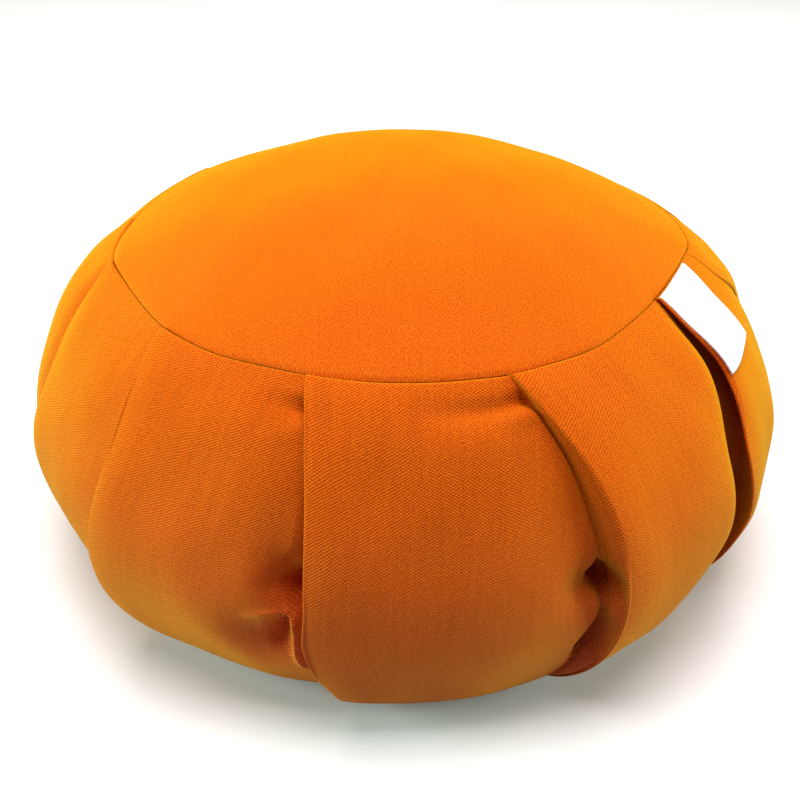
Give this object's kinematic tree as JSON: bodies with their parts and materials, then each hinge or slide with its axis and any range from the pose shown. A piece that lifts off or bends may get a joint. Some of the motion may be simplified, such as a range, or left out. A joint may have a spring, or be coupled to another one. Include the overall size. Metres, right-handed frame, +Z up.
{
  "type": "meditation cushion",
  "caption": "Round, firmly filled floor cushion with a crowned top panel, a side band in knife pleats, and a blank label sewn into the top seam.",
  "frame": {"origin": "centre of the flat face that the cushion rests on, at floor level", "axes": "+Z up, from the resting face to the crown; -Y is the front, the side that faces the picture's camera"},
  "size_m": [0.352, 0.3482, 0.1675],
  "materials": {
    "band_canvas": "matt cotton canvas, orange",
    "panel_canvas": "matt cotton canvas, orange",
    "label_tape": "smooth woven tape, white"
  },
  "bodies": {
    "root": {"side_band": "band_canvas", "top_panel": "panel_canvas", "bottom_panel": "panel_canvas", "label": "label_tape"}
  },
  "joints": []
}
